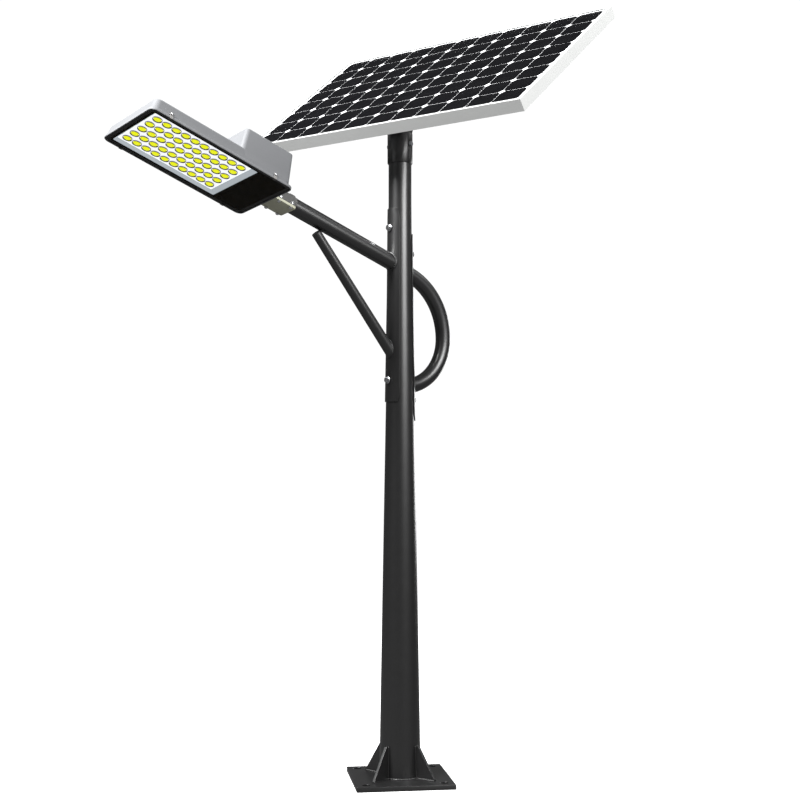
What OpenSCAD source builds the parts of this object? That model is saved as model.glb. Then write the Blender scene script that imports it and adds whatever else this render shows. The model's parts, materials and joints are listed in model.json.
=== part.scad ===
// Solar street lamp: base plate and tapered pole, lamp head on a raking arm,
// tilting solar panel on a collar at the top. Millimetres, +Z up, origin at the
// centre of the base plate's underside, plate sides along X and Y.

/* [Base] */
// Side of the square base plate
base_side = 360; // [340:5:420]
// Thickness of the base plate
base_t = 18; // [14:1:24]
// Distance between neighbouring anchor holes
anchor_spacing = 285; // [270:5:295]
// Diameter of each anchor hole
anchor_hole_d = 30; // [22:1:32]
// Height of the gussets above the base plate
gusset_h = 118; // [80:2:160]
// Reach of the gussets from the pole axis
gusset_reach = 160; // [140:2:168]

/* [Pole] */
// Outer diameter of the pole at the base plate
pole_bottom_d = 154; // [150:1:160]
// Outer diameter where the long taper ends
pole_shoulder_d = 92; // [91:0.5:94]
// Height where the long taper ends
pole_shoulder_z = 1790; // [1750:5:1830]
// Outer diameter of the straight spigot at the top
pole_top_d = 86; // [84:0.5:88]
// Wall thickness of the pole
pole_wall = 4; // [3:0.5:6]

/* [Arm and lamp] */
// Direction of the arm, counterclockwise from +X
arm_azimuth = 208.8; // [190:0.2:225]
// Rise of the arm above level
arm_rise = 21; // [15:0.5:25]
// Height where the arm axis meets the pole axis
arm_z = 1905; // [1880:5:1930]
// Outer diameter of the arm tube
arm_d = 60; // [56:0.5:62]
// Roll of the lamp head about the arm as installed
lamp_roll = 8.3; // [0:0.1:12]
// Length of the lamp housing
lamp_l = 577; // [550:1:600]
// Width of the lamp housing
lamp_w = 336; // [320:1:350]
// Distance along the arm from the pole axis to the near end of the housing
lamp_start = 616; // [600:1:640]
// Depth of the lens glass face below the arm axis
glass_drop = 42.5; // [38:0.5:46]
// Height of the raised equipment box above the arm axis
box_top = 83; // [75:1:100]

/* [Solar panel] */
// Length of the panel
panel_l = 1255; // [1200:5:1320]
// Width of the panel
panel_w = 772; // [740:2:800]
// Depth of the panel frame
panel_t = 46; // [40:1:50]
// Direction of the panel's long side, counterclockwise from +X
panel_azimuth = -45.7; // [-60:0.1:-30]
// Tilt of the panel from level as installed
panel_tilt = 37; // [25:0.5:45]
// Offset of the panel centre from the pivot along its long side
panel_shift_x = 74; // [0:1:90]
// Offset of the panel centre from the pivot up the slope
panel_shift_y = 138.2; // [110:0.1:160]
// Columns of solar cells along the panel
cell_cols = 11; // [8:1:12]
// Rows of solar cells across the panel
cell_rows = 8; // [6:1:9]

/* [Loop] */
// Outer diameter of the loop tube behind the pole
loop_d = 57; // [50:0.5:60]
// Furthest distance of the loop's centre line from the pole axis
loop_reach = 205; // [195:1:215]
// Height of the loop's furthest point
loop_z = 1645; // [1630:5:1660]

/* [Hidden] */
$fn = 64;
small_fn = 32;
// Gap between faces on different bodies, and running clearance of a turning fit
gap = 0.3;
run = 0.05;

pole_bottom_r = pole_bottom_d / 2;
pole_shoulder_r = pole_shoulder_d / 2;
pole_top_r = pole_top_d / 2;
pole_straight_z = pole_shoulder_z + 360;
cap_z = 2400;
pole_top_z = cap_z - gap;
gusset_t = 10;
gusset_ledge = 12;
base_cable_r = 45;

saddle_gap = 0.2;
saddle_t = 3.8;
saddle_half_angle = 53;
arm_saddle_lo = 1400;
arm_saddle_hi = 2123;
loop_saddle_lo = 1330;
loop_saddle_hi = 2030;
arm_bolt_z = [1481, 2050];
loop_bolt_z = [1408, 1958];
saddle_bolt_r = 6;
rivet_r = 9;
saddle_out = saddle_gap + saddle_t;

arm_r = arm_d / 2;
arm_wall = 3.5;
arm_end = lamp_start - 6;
strut_low_z = 1530;
strut_rise = 51.4;
strut_low_r = 21.5;
strut_top_r = 18;
strut_wall = 3;
strut_len = 603;
loop_r = loop_d / 2;
loop_wall = 3;
loop_up_radius = 252;
loop_low_radius = 184;

rim_h = 9;
pocket_h = 6;
side_inset = 5.5;
far_inset = 8;
near_inset = 14;
lamp_corner = 24;
lamp_wall = 3;
tray_top = 5;
lamp_far = lamp_start + lamp_l;
glass_z = -glass_drop;
glass_t = 3;
rim_w = 4;
ledge_w = 16;
tray_near = lamp_start + near_inset;
box_near = tray_near + 10;
box_far = box_near + 205;
box_step = 0.6;
window_near = lamp_start + 136;
window_far = lamp_far - 27;
window_half = 141.6;
board_z = glass_z + 13;
led_cols = 10;
led_rows = 5;
led_pitch_x = 37.4;
led_pitch_y = 49.9;
led_first_x = window_near + 45;
led_r = 13;
cup_r = 17;
clamp_near = lamp_start - 95;
clamp_r = arm_r + 5;
clamp_half_w = 47;
clamp_low = -33.3;
clamp_split = -24;
clamp_shoulder = 10;
clamp_bolt_x = [clamp_near + 19, clamp_near + 69];
clamp_bolt_y = 40.5;
clamp_bolt_r = 4;
clamp_flat = 13;
clamp_nut_z = -21;
clip_x = [lamp_start + 81, lamp_far - 73];
clip_w = 12;

collar_lo = 2295;
collar_r = 47.15;
collar_bolt_z = 2365;
cap_t = 8;
pivot_z = 2463;
ear_out = 36;
ear_t = 8;
cheek_in = 36.5;
cheek_t = 6;
pivot_r = 8;
lock_r = 6;
lock_reach = 34;
lock_rise = 20;
tilt_more = 23;
tilt_less = 22;
lock_local = lock_rise - panel_tilt;
panel_z = 45.6;
rail_h = 30;
rail_w = 41;
rail_wall = 2.5;
rail_spread = 230;
rail_y = [panel_shift_y - rail_spread, panel_shift_y + rail_spread];
rail_bolt_x = cheek_in + 26;
frame_bolt_in = 18;
frame_wall = 2;
rail_z = panel_z + frame_wall;
frame_lip = 11;
frame_flange = 30;
lip_t = 1.5;
glass_th = 3.2;
laminate_top = panel_z + panel_t - lip_t;
laminate_inset = 3;
cell_pitch_x = 110;
cell_pitch_y = 92.5;
cell_gap = 2;
cell_chamfer = 13;
cell_t = 0.4;
sheet_t = 0.4;
jbox_x = 330;
jbox_y = 120;
jbox_l = 120;
jbox_w = 90;
jbox_h = 20;
jbox_wall = 3;
gland_x = [-30, 30];
gland_z = -11;

pole_colour = [0.2, 0.2, 0.21];
steel_colour = [0.75, 0.75, 0.76];
cast_colour = [0.62, 0.63, 0.65];
frame_colour = [0.85, 0.86, 0.88];

// Outer radius of the pole at height z
function shaft_r(z) =
    z < pole_shoulder_z
    ? pole_bottom_r + (pole_shoulder_r - pole_bottom_r) * (z - base_t) / (pole_shoulder_z - base_t)
    : z < pole_straight_z
    ? pole_shoulder_r + (pole_top_r - pole_shoulder_r) * (z - pole_shoulder_z)
        / (pole_straight_z - pole_shoulder_z)
    : pole_top_r;

// Outline of the pole's outer side from lo to hi, moved out by extra
function shaft_side(lo, hi, extra) = concat(
    [[shaft_r(lo) + extra, lo]],
    (lo < pole_shoulder_z && hi > pole_shoulder_z)
        ? [[pole_shoulder_r + extra, pole_shoulder_z]] : [],
    (lo < pole_straight_z && hi > pole_straight_z)
        ? [[pole_top_r + extra, pole_straight_z]] : [],
    [[shaft_r(hi) + extra, hi]]);

// Solid bounded by the pole's outer side moved out by extra
module shaft_solid(lo, hi, extra) {
    rotate_extrude()
        polygon(concat([[0, lo]], shaft_side(lo, hi, extra), [[0, hi]]));
}

// Wedge about the pole axis, half_angle either side of azimuth
module wedge(azimuth, half_angle, lo, hi) {
    reach = 400;
    translate([0, 0, lo])
        linear_extrude(hi - lo)
            polygon([[0, 0],
                [reach * cos(azimuth - half_angle), reach * sin(azimuth - half_angle)],
                [reach * cos(azimuth), reach * sin(azimuth)],
                [reach * cos(azimuth + half_angle), reach * sin(azimuth + half_angle)]]);
}

// Local frame with X along the arm, origin where the arm axis meets the pole axis
module along_arm() {
    translate([0, 0, arm_z])
        rotate([0, 0, arm_azimuth])
            rotate([0, -arm_rise, 0])
                children();
}

// Local frame of the lamp head: the arm frame rolled about its X axis
module lamp_frame() {
    along_arm()
        rotate([lamp_roll, 0, 0])
            children();
}

// Local frame of the panel: X along the long side, Y up the slope, pivot at origin
module panel_frame() {
    translate([0, 0, pivot_z])
        rotate([0, 0, panel_azimuth])
            rotate([panel_tilt, 0, 0])
                children();
}

// Cylinder along +X that starts at x
module rod_x(x, r, len) {
    translate([x, 0, 0])
        rotate([0, 90, 0])
            cylinder(h = len, r = r);
}

// Hexagonal prism along +Z, flat is the distance across flats
module hexagon(flat, h) {
    cylinder(h = h, r = flat / sqrt(3), $fn = 6);
}

// Rectangle with round corners from (x0, y0) to (x1, y1)
module round_rect(x0, y0, x1, y1, r) {
    translate([x0 + r, y0])
        square([x1 - x0 - 2 * r, y1 - y0]);
    translate([x0, y0 + r])
        square([x1 - x0, y1 - y0 - 2 * r]);
    for (x = [x0 + r, x1 - r], y = [y0 + r, y1 - r])
        translate([x, y])
            circle(r = r, $fn = small_fn);
}

// Slab of height h with round corners, symmetric about the XZ plane
module slab(x0, x1, half, z, h, r) {
    translate([0, 0, z])
        linear_extrude(h)
            round_rect(x0, -half, x1, half, r);
}

// ---- Pole body ----

module base_plate() {
    color(pole_colour)
        difference() {
            translate([-base_side / 2, -base_side / 2, 0])
                cube([base_side, base_side, base_t]);
            for (x = [-1, 1], y = [-1, 1])
                translate([x * anchor_spacing / 2, y * anchor_spacing / 2, -1])
                    cylinder(h = base_t + 2, d = anchor_hole_d);
            translate([0, 0, -1])
                cylinder(h = base_t + 2, r = base_cable_r);
        }
}

module base_gussets() {
    color(pole_colour)
        difference() {
            for (a = [45:90:315])
                rotate([0, 0, a])
                    translate([0, gusset_t / 2, 0])
                        rotate([90, 0, 0])
                            linear_extrude(gusset_t)
                                polygon([[pole_bottom_r - 8, base_t],
                                    [gusset_reach, base_t],
                                    [pole_bottom_r + gusset_ledge, base_t + gusset_h],
                                    [pole_bottom_r - 8, base_t + gusset_h]]);
            shaft_solid(base_t - 1, base_t + gusset_h + 1, 0);
        }
}

// Round holes through the pole wall and the saddles for bolts and for the cables
module saddle_holes(r) {
    for (z = arm_bolt_z)
        rotate([0, 0, arm_azimuth])
            translate([0, 0, z])
                rod_x(20, r, 60);
    for (z = loop_bolt_z)
        rotate([0, 0, arm_azimuth + 180])
            translate([0, 0, z])
                rod_x(20, r, 60);
}

module arm_cable_hole() {
    along_arm()
        rod_x(0, 14, 120);
}

module pole_shaft() {
    color(pole_colour)
        difference() {
            shaft_solid(base_t, pole_top_z, 0);
            translate([0, 0, -1])
                shaft_solid(base_t, pole_top_z + 2, -pole_wall);
            saddle_holes(rivet_r + run);
            arm_cable_hole();
        }
}

module saddle(azimuth, lo, hi) {
    intersection() {
        difference() {
            shaft_solid(lo, hi, saddle_out);
            shaft_solid(lo - 1, hi + 1, saddle_gap);
        }
        wedge(azimuth, saddle_half_angle, lo - 1, hi + 1);
    }
}

module arm_saddle() {
    color(pole_colour)
        difference() {
            saddle(arm_azimuth, arm_saddle_lo, arm_saddle_hi);
            saddle_holes(saddle_bolt_r + run);
            arm_cable_hole();
        }
}

module loop_saddle() {
    color(pole_colour)
        difference() {
            saddle(arm_azimuth + 180, loop_saddle_lo, loop_saddle_hi);
            saddle_holes(saddle_bolt_r + run);
        }
}

// Hex bolt with a flanged head, pointing in to the pole axis
module saddle_bolt(azimuth, z) {
    rotate([0, 0, azimuth])
        translate([shaft_r(z) + saddle_out + 1.2, 0, z])
            rotate([0, 90, 0]) {
                cylinder(h = 2, r = 13);
                translate([0, 0, 2])
                    hexagon(19, 8);
                translate([0, 0, -22])
                    cylinder(h = 22, r = saddle_bolt_r);
            }
}

module arm_saddle_bolts() {
    color(steel_colour)
        for (z = arm_bolt_z)
            saddle_bolt(arm_azimuth, z);
}

module loop_saddle_bolts() {
    color(steel_colour)
        for (z = loop_bolt_z)
            saddle_bolt(arm_azimuth + 180, z);
}

// Threaded insert set in the pole wall under each saddle bolt
module rivet_nut(azimuth, z) {
    rotate([0, 0, azimuth])
        translate([shaft_r(z) - 20, 0, z])
            rotate([0, 90, 0])
                difference() {
                    cylinder(h = 18.5, r = rivet_r);
                    translate([0, 0, -1])
                        cylinder(h = 22, r = saddle_bolt_r + run);
                }
}

module rivet_nuts() {
    color(steel_colour) {
        for (z = arm_bolt_z)
            rivet_nut(arm_azimuth, z);
        for (z = loop_bolt_z)
            rivet_nut(arm_azimuth + 180, z);
    }
}

module arm_tube() {
    color(pole_colour)
        difference() {
            along_arm()
                rod_x(20, arm_r, arm_end - 20);
            along_arm()
                rod_x(10, arm_r - arm_wall, arm_end);
            shaft_solid(arm_z - 150, arm_z + 150, saddle_out);
        }
}

// Local frame with +Z along the strut, origin where its axis meets the pole axis
module along_strut() {
    translate([0, 0, strut_low_z])
        rotate([0, 0, arm_azimuth])
            rotate([0, 90 - strut_rise, 0])
                children();
}

module arm_strut() {
    color(pole_colour)
        difference() {
            along_strut()
                cylinder(h = strut_len, r1 = strut_low_r, r2 = strut_top_r);
            along_strut()
                translate([0, 0, -0.5])
                    cylinder(h = strut_len + 1, r1 = strut_low_r - strut_wall,
                        r2 = strut_top_r - strut_wall);
            shaft_solid(strut_low_z - 60, strut_low_z + 250, saddle_out);
            along_arm()
                rod_x(100, arm_r, arm_end - 100);
        }
}

module strut_cap() {
    color(pole_colour)
        difference() {
            along_strut()
                translate([0, 0, strut_len - 8])
                    cylinder(h = 6, r = strut_top_r - strut_wall - 0.3);
            along_arm()
                rod_x(100, arm_r + 1, arm_end - 100);
        }
}

// One bend of the loop: a hollow torus piece in the arm's plane behind the pole
module loop_bend(radius, start, sweep) {
    rotate([0, 0, arm_azimuth + 180])
        translate([loop_reach - radius, 0, loop_z])
            rotate([90, 0, 0])
                rotate([0, 0, start])
                    rotate_extrude(angle = sweep)
                        translate([radius, 0])
                            difference() {
                                circle(r = loop_r, $fn = small_fn);
                                circle(r = loop_r - loop_wall, $fn = small_fn);
                            }
}

module loop_tube() {
    color(pole_colour)
        difference() {
            union() {
                loop_bend(loop_up_radius, 0, 72);
                loop_bend(loop_low_radius, -85, 85);
            }
            shaft_solid(loop_saddle_lo, loop_saddle_hi, saddle_out);
        }
}

// ---- Lamp body ----

module lamp_housing() {
    lo = tray_near;
    hi = lamp_far - far_inset;
    half = lamp_w / 2 - side_inset;
    ledge_z = glass_z + pocket_h;
    color(cast_colour)
        lamp_frame()
            difference() {
                union() {
                    slab(lamp_start, lamp_far, lamp_w / 2, glass_z, rim_h, lamp_corner);
                    slab(lo, hi, half, ledge_z, tray_top - ledge_z, 20);
                    slab(box_near, box_far, half - box_step, tray_top - 1,
                        box_top - tray_top + 1, 10);
                }
                slab(lamp_start + rim_w, lamp_far - rim_w, lamp_w / 2 - rim_w,
                    glass_z - 1, pocket_h + 1, lamp_corner - rim_w);
                slab(lo + ledge_w, hi - ledge_w, half - ledge_w, ledge_z - 1, 5, 12);
                slab(lo + lamp_wall, hi - lamp_wall, half - lamp_wall,
                    ledge_z + 3, tray_top - lamp_wall - ledge_z - 3, 17);
                slab(box_near + lamp_wall, box_far - lamp_wall, half - box_step - lamp_wall,
                    tray_top - lamp_wall - 1, box_top - tray_top + 1, 7);
                rod_x(lamp_start - 10, 12, 60);
            }
}

module lens_glass() {
    color([0.06, 0.05, 0.04])
        lamp_frame()
            slab(lamp_start + rim_w + 0.5, lamp_far - rim_w - 0.5, lamp_w / 2 - rim_w - 0.5,
                glass_z, glass_t, lamp_corner - rim_w - 0.5);
}

module glass_gasket() {
    color([0.1, 0.1, 0.1])
        lamp_frame()
            difference() {
                slab(lamp_start + rim_w + 1, lamp_far - rim_w - 1, lamp_w / 2 - rim_w - 1,
                    glass_z + glass_t, pocket_h - glass_t, lamp_corner - rim_w - 1);
                slab(lamp_start + 18, lamp_far - 18, lamp_w / 2 - 18,
                    glass_z + glass_t - 1, pocket_h - glass_t + 2, 12);
            }
}

// Shallow bright pan round the LED board
module reflector_tray() {
    tray_z = glass_z + glass_t + 0.5;
    color([0.85, 0.86, 0.88])
        lamp_frame()
            difference() {
                slab(window_near - 2, window_far + 0.5, window_half + 1,
                    tray_z, board_z - tray_z, 6);
                slab(window_near + 14, window_far - 10, window_half - 9,
                    tray_z - 1, board_z - tray_z + 2, 4);
            }
}

module led_board() {
    color([0.93, 0.93, 0.93])
        lamp_frame()
            slab(window_near, window_far, window_half, board_z, 2, 4);
}

// Calls its children at every LED place on the board
module at_leds() {
    for (i = [0:led_cols - 1], j = [0:led_rows - 1])
        translate([led_first_x + i * led_pitch_x, (j - (led_rows - 1) / 2) * led_pitch_y, 0])
            children();
}

module led_cups() {
    color([0.88, 0.88, 0.9])
        lamp_frame()
            at_leds()
                translate([0, 0, board_z - 4])
                    difference() {
                        cylinder(h = 4, r = cup_r, $fn = small_fn);
                        translate([0, 0, -1])
                            cylinder(h = 6, r = led_r + 0.5, $fn = small_fn);
                    }
}

module led_emitters() {
    color([1, 0.95, 0.1])
        lamp_frame()
            at_leds()
                translate([0, 0, board_z - 6])
                    cylinder(h = 6, r = led_r, $fn = small_fn);
}

// Bent steel clip that hooks the glass from the side of the rim
module glass_clip(side) {
    out = lamp_w / 2;
    mirror([0, side < 0 ? 1 : 0, 0]) {
        translate([-clip_w / 2, out + 0.2, glass_z - 1.5])
            cube([clip_w, 1.5, 20]);
        translate([-clip_w / 2, out - 9, glass_z - 1.5])
            cube([clip_w, 10.2, 1.4]);
    }
}

module glass_clips() {
    color([0.8, 0.78, 0.74])
        lamp_frame()
            for (x = clip_x, side = [-1, 1])
                translate([x, 0, 0])
                    glass_clip(side);
}

module clip_screws() {
    color(steel_colour)
        lamp_frame()
            for (x = clip_x, side = [-1, 1])
                translate([x, side * (lamp_w / 2 + 1.7), glass_z + 13])
                    rotate([side > 0 ? -90 : 90, 0, 0])
                        cylinder(h = 2.4, r = 3.5, $fn = small_fn);
}

// Open-bottomed socket cast with the housing, round over the arm tube
module clamp_upper() {
    len = tray_near - clamp_near - 0.2;
    color([0.45, 0.45, 0.44])
        lamp_frame()
            difference() {
                union() {
                    rod_x(clamp_near, clamp_r, len);
                    translate([clamp_near, -clamp_half_w, clamp_split])
                        cube([len, 2 * clamp_half_w, clamp_shoulder - clamp_split]);
                }
                rod_x(clamp_near - 1, arm_r + run, len + 2);
                translate([clamp_near - 1, -arm_r - run, clamp_split - 1])
                    cube([len + 2, 2 * (arm_r + run), -clamp_split + 1]);
                translate([clamp_near - 1, -clamp_r - 1, -clamp_r - 1])
                    cube([len + 2, 2 * clamp_r + 2, clamp_r + 1 + clamp_split]);
                clamp_bolt_holes();
                for (x = clamp_bolt_x, y = [-1, 1])
                    translate([x - 8, y * (clamp_bolt_y + 2) - 9, clamp_nut_z - 1])
                        cube([16, 18, 9]);
            }
}

// Plate that closes the socket from below
module clamp_lower() {
    color([0.5, 0.5, 0.42])
        lamp_frame()
            difference() {
                translate([clamp_near, -clamp_half_w, clamp_low])
                    cube([lamp_start - 4 - clamp_near, 2 * clamp_half_w, clamp_split - gap - clamp_low]);
                rod_x(clamp_near - 1, arm_r + run, lamp_start - clamp_near);
                clamp_bolt_holes();
            }
}

module at_clamp_bolts() {
    for (x = clamp_bolt_x, y = [-1, 1])
        translate([x, y * clamp_bolt_y, 0])
            children();
}

module clamp_bolt_holes() {
    at_clamp_bolts()
        translate([0, 0, clamp_low - 1])
            cylinder(h = -clamp_low - 7, r = clamp_bolt_r + run, $fn = small_fn);
}

module clamp_bolts() {
    head = 5;
    color(steel_colour)
        lamp_frame()
            at_clamp_bolts()
                translate([0, 0, clamp_low - head]) {
                    hexagon(clamp_flat, head);
                    translate([0, 0, head - 0.5])
                        cylinder(h = 23, r = clamp_bolt_r, $fn = small_fn);
                }
}

module clamp_nuts() {
    color(steel_colour)
        lamp_frame()
            at_clamp_bolts()
                translate([0, 0, clamp_nut_z])
                    difference() {
                        hexagon(clamp_flat, 6.5);
                        translate([0, 0, -1])
                            cylinder(h = 9, r = clamp_bolt_r + run, $fn = small_fn);
                    }
}

module led_driver() {
    color([0.7, 0.7, 0.72])
        lamp_frame()
            slab(box_near + 20, box_near + 150, 35, 14, 30, 4);
}

module battery_pack() {
    color([0.15, 0.35, 0.6])
        lamp_frame()
            slab(box_near + 15, box_far - 15, 120, 48, 24, 8);
}

module battery_strap() {
    color(steel_colour)
        lamp_frame()
            translate([box_near + 85, -122, 46])
                difference() {
                    cube([20, 244, 28]);
                    translate([-1, 1.5, 1.5])
                        cube([22, 241, 25]);
                }
}

module cable_grommet() {
    color([0.08, 0.08, 0.08])
        lamp_frame()
            difference() {
                rod_x(tray_near - 0.1, 11.8, 10);
                rod_x(tray_near - 1, 7, 14);
            }
}

// ---- Collar body ----

module top_collar() {
    color(pole_colour)
        difference() {
            translate([0, 0, collar_lo])
                cylinder(h = cap_z - collar_lo + cap_t, r = collar_r);
            translate([0, 0, collar_lo - 1])
                cylinder(h = cap_z - collar_lo + 1, r = pole_top_r + run);
            at_collar_bolts()
                rod_x(40, 5 + run, 20);
            translate([0, 0, cap_z - 1])
                cylinder(h = cap_t + 2, r = 16);
        }
}

module at_collar_bolts() {
    for (a = [0, 180])
        rotate([0, 0, panel_azimuth + a])
            translate([0, 0, collar_bolt_z])
                children();
}

module collar_bolts() {
    color([0.5, 0.5, 0.5])
        at_collar_bolts()
            rotate([0, 90, 0]) {
                translate([0, 0, pole_top_r + gap])
                    cylinder(h = 6, r = 5);
                translate([0, 0, collar_r + 0.2])
                    cylinder(h = 2, r = 9);
                translate([0, 0, collar_r + 2])
                    hexagon(16, 7);
            }
}

// Frame of the collar's ears: X along the pivot, Y to the rear, origin at the pivot
module ear_frame() {
    translate([0, 0, pivot_z])
        rotate([0, 0, panel_azimuth])
            children();
}

module pivot_ears() {
    low = cap_z + cap_t - pivot_z;
    color(pole_colour)
        ear_frame()
            for (side = [0, 1])
                mirror([side, 0, 0])
                    translate([ear_out - ear_t, 0, 0])
                        difference() {
                            rotate([90, 0, 90])
                                linear_extrude(ear_t)
                                    union() {
                                        polygon([[-28, low], [28, low], [44, 4], [30, 22], [-4, 22],
                                            [-22, 0]]);
                                        circle(r = 22);
                                        translate([lock_reach * cos(lock_rise), lock_reach * sin(lock_rise)])
                                            circle(r = 14);
                                    }
                            rod_x(-1, pivot_r + run, ear_t + 2);
                            translate([0, lock_reach * cos(lock_rise), lock_reach * sin(lock_rise)])
                                rod_x(-1, lock_r + run, ear_t + 2);
                        }
}

module pivot_bolt() {
    out = cheek_in + cheek_t + gap;
    color(steel_colour)
        ear_frame() {
            rod_x(-out, pivot_r, 2 * out + 14);
            translate([-out - 2, 0, 0])
                rotate([0, 90, 0])
                    cylinder(h = 2, r = 15);
            translate([-out - 12, 0, 0])
                rotate([0, 90, 0])
                    hexagon(24, 10.5);
        }
}

module pivot_nut() {
    out = cheek_in + cheek_t + gap;
    color(steel_colour)
        ear_frame()
            difference() {
                union() {
                    rod_x(out, 15, 2);
                    translate([out + 1.5, 0, 0])
                        rotate([0, 90, 0])
                            hexagon(24, 10);
                }
                rod_x(out - 1, pivot_r + run, 20);
            }
}

module lock_bolts() {
    out = cheek_in + cheek_t + gap;
    color(steel_colour)
        ear_frame()
            for (side = [0, 1])
                mirror([side, 0, 0])
                    translate([0, lock_reach * cos(lock_rise), lock_reach * sin(lock_rise)]) {
                        rod_x(ear_out - ear_t - 6, lock_r, out - ear_out + ear_t + 8);
                        rod_x(out, 12, 2);
                        translate([out + 1.5, 0, 0])
                            rotate([0, 90, 0])
                                hexagon(18, 8);
                    }
}

// ---- Panel body ----

// Curved slot about the pivot for the lock bolt, in the plane of a tilt arm
module lock_slot() {
    slot_r = lock_r + 0.2;
    end_room = 12;
    from = lock_local - tilt_more - end_room;
    to = lock_local + tilt_less + end_room;
    reach = 90;
    intersection() {
        difference() {
            circle(r = lock_reach + slot_r);
            circle(r = lock_reach - slot_r);
        }
        polygon([[0, 0], [reach * cos(from), reach * sin(from)],
            [reach * cos((from + to) / 2), reach * sin((from + to) / 2)],
            [reach * cos(to), reach * sin(to)]]);
    }
}

module tilt_arm_outline() {
    lobe = 46;
    back = rail_y[0] - 28;
    front = rail_y[1] + 28;
    polygon([[back, rail_z], [front, rail_z], [front, 24], [60, -12], [-36, -12], [back, 24]]);
    intersection() {
        circle(r = lobe);
        translate([-lobe, -lobe])
            square([2 * lobe, lobe + rail_z]);
    }
}

module tilt_arms() {
    color([0.3, 0.3, 0.31])
        panel_frame()
            for (side = [0, 1])
                mirror([side, 0, 0])
                    union() {
                        translate([cheek_in, 0, 0])
                            difference() {
                                rotate([90, 0, 90])
                                    linear_extrude(cheek_t)
                                        difference() {
                                            tilt_arm_outline();
                                            lock_slot();
                                        }
                                rod_x(-1, pivot_r + run, cheek_t + 2);
                            }
                        for (y = rail_y)
                            difference() {
                                translate([cheek_in + cheek_t - 0.5, y - 24, rail_z - cheek_t])
                                    cube([44.5, 48, cheek_t]);
                                translate([rail_bolt_x, y, 0])
                                    cylinder(h = 60, r = 5 + run, $fn = small_fn);
                            }
                    }
}

// Channel with its open side up, between the frame's side bars
module rail(y) {
    len = panel_l - 2 * (frame_wall + gap);
    color([0.6, 0.61, 0.62])
        panel_frame()
            difference() {
                translate([panel_shift_x - len / 2, y - rail_w / 2, rail_z])
                    cube([len, rail_w, rail_h]);
                translate([panel_shift_x - len / 2 - 1, y - rail_w / 2 + rail_wall, rail_z + rail_wall])
                    cube([len + 2, rail_w - 2 * rail_wall, rail_h]);
                for (side = [-1, 1])
                    translate([side * rail_bolt_x, y, rail_z - 1])
                        cylinder(h = rail_wall + 2, r = 5 + run, $fn = small_fn);
                for (side = [-1, 1])
                    translate([panel_shift_x + side * (panel_l / 2 - frame_bolt_in), y, rail_z - 1])
                        cylinder(h = rail_wall + 2, r = 4 + run, $fn = small_fn);
            }
}

module lower_rail() {
    rail(rail_y[0]);
}

module upper_rail() {
    rail(rail_y[1]);
}

module arm_rail_bolts() {
    low = rail_z - cheek_t;
    color(steel_colour)
        panel_frame()
            for (y = rail_y, side = [-1, 1])
                translate([side * rail_bolt_x, y, low]) {
                    translate([0, 0, -7.2])
                        hexagon(16, 7);
                    translate([0, 0, -0.7])
                        cylinder(h = 22, r = 5, $fn = small_fn);
                    translate([0, 0, cheek_t + rail_wall + 0.2])
                        hexagon(16, 8);
                }
}

module frame_rail_bolts() {
    color(steel_colour)
        panel_frame()
            for (y = rail_y, side = [-1, 1])
                translate([panel_shift_x + side * (panel_l / 2 - frame_bolt_in), y, panel_z]) {
                    translate([0, 0, -5])
                        hexagon(13, 5);
                    translate([0, 0, -0.5])
                        cylinder(h = 18, r = 4, $fn = small_fn);
                    translate([0, 0, frame_wall + rail_wall + 0.2])
                        hexagon(13, 7);
                }
}

// Section of a frame bar: X inward from the outer face, Y up from the underside
module frame_section() {
    shelf = panel_t - lip_t - glass_th - cell_t - sheet_t;
    polygon([[0, 0], [frame_flange, 0], [frame_flange, frame_wall], [frame_wall, frame_wall],
        [frame_wall, shelf - frame_wall], [frame_lip, shelf - frame_wall], [frame_lip, shelf],
        [frame_wall, shelf], [frame_wall, panel_t - lip_t], [frame_lip, panel_t - lip_t],
        [frame_lip, panel_t], [0, panel_t]]);
}

// Frame bar of length len, centred, mitred at both ends, outer face on the X axis
module frame_bar(len) {
    intersection() {
        translate([-len / 2, 0, 0])
            rotate([90, 0, 90])
                linear_extrude(len)
                    frame_section();
        linear_extrude(panel_t)
            polygon([[-len / 2, 0], [len / 2, 0], [len / 2 - 60, 60], [-len / 2 + 60, 60]]);
    }
}

module frame_bolt_holes() {
    for (y = rail_y, side = [-1, 1])
        translate([panel_shift_x + side * (panel_l / 2 - frame_bolt_in), y, panel_z - 1])
            cylinder(h = frame_wall + 2, r = 4 + run, $fn = small_fn);
}

module frame_side(turn, len, reach) {
    color(frame_colour)
        panel_frame()
            difference() {
                translate([panel_shift_x, panel_shift_y, panel_z])
                    rotate([0, 0, turn])
                        translate([0, -reach, 0])
                            frame_bar(len);
                frame_bolt_holes();
            }
}

module frame_lower_bar() {
    frame_side(0, panel_l, panel_w / 2);
}

module frame_upper_bar() {
    frame_side(180, panel_l, panel_w / 2);
}

module frame_left_bar() {
    frame_side(-90, panel_w, panel_l / 2);
}

module frame_right_bar() {
    frame_side(90, panel_w, panel_l / 2);
}

// Angle pressed in behind each mitre
module frame_corner_keys() {
    key_z = panel_z + frame_wall + 0.2;
    color([0.55, 0.56, 0.58])
        panel_frame()
            for (x = [-1, 1], y = [-1, 1])
                translate([panel_shift_x + x * (panel_l / 2 - frame_wall - 0.2),
                    panel_shift_y + y * (panel_w / 2 - frame_wall - 0.2), key_z])
                    mirror([x > 0 ? 1 : 0, 0, 0])
                        mirror([0, y > 0 ? 1 : 0, 0]) {
                            cube([60, 5, 30]);
                            cube([5, 60, 30]);
                        }
}

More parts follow.
